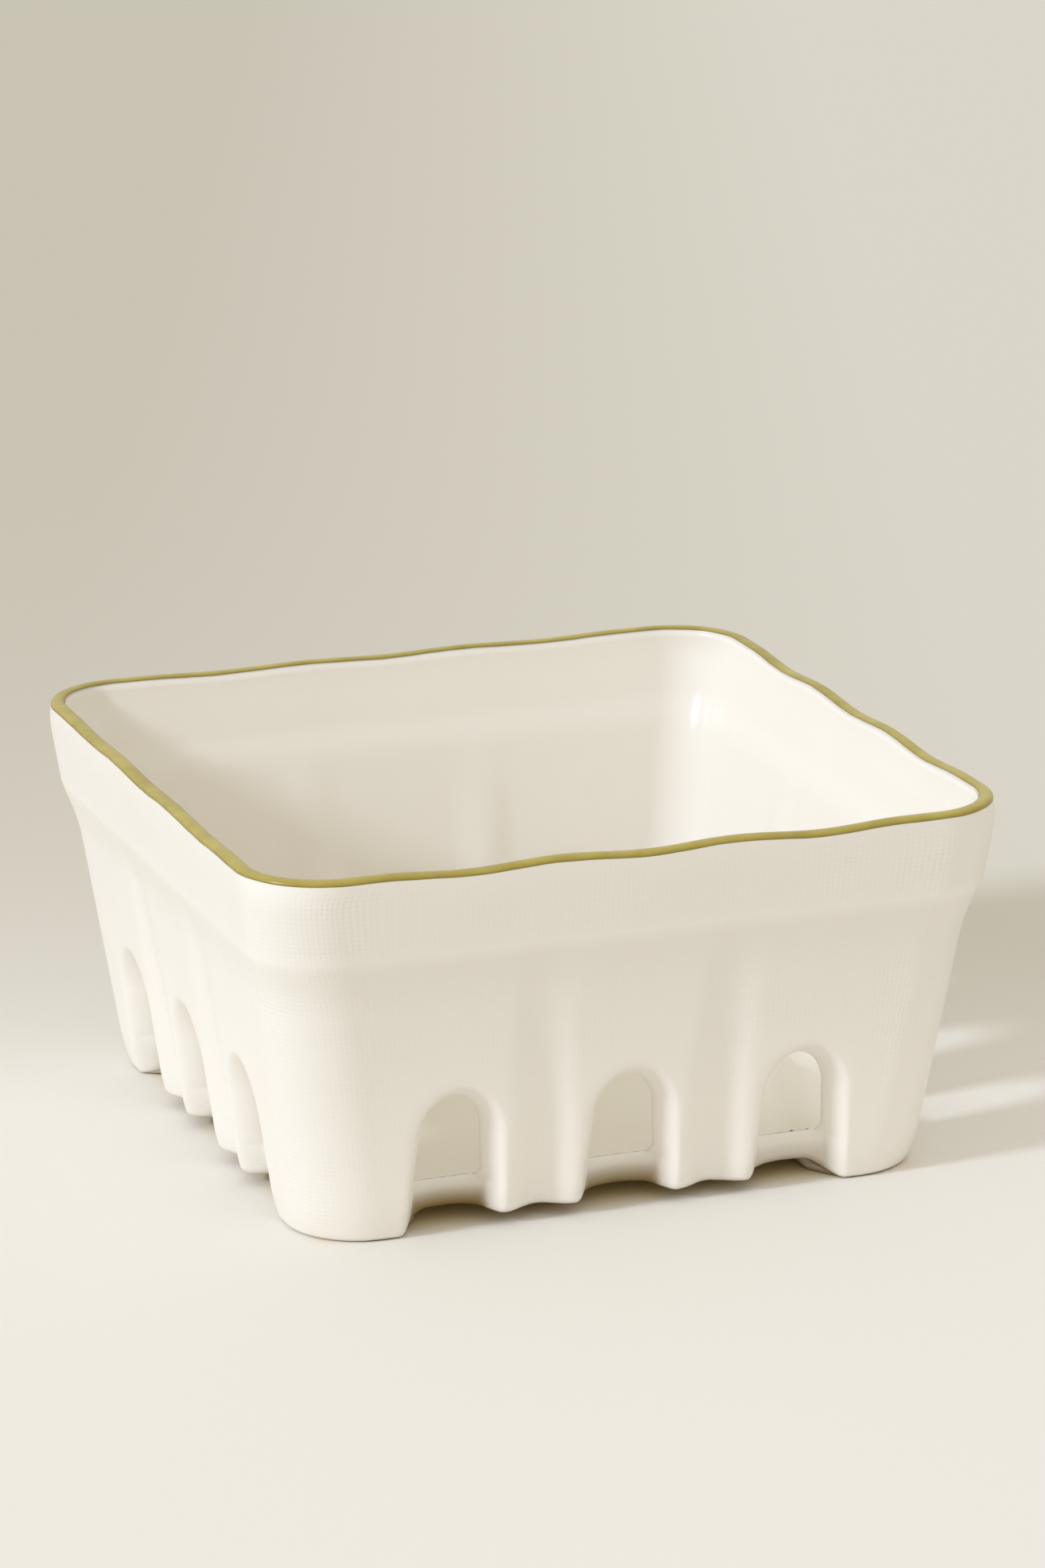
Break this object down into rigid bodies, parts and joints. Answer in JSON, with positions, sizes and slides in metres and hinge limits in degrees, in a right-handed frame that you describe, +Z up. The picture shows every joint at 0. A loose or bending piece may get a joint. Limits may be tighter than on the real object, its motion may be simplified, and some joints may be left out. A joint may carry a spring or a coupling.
{
  "type": "ceramic fruit basket",
  "caption": "Square ceramic fruit basket with tapering fluted walls, arched openings round the foot, corner feet and a glazed lip band.",
  "frame": {"origin": "on the table under the middle of the basket", "axes": "+Z up through the open mouth, +X and +Y square to the side walls"},
  "size_m": [0.19, 0.19, 0.0945],
  "materials": {
    "stoneware_body": "warm white satin glaze with a fine linen weave print",
    "liner_glaze": "smooth gloss warm white lining glaze",
    "rim_glaze_band": "gloss olive green lip glaze"
  },
  "bodies": {
    "root": {"stoneware_body": "stoneware_body", "liner_glaze": "liner_glaze", "rim_glaze_band": "rim_glaze_band"}
  },
  "joints": []
}
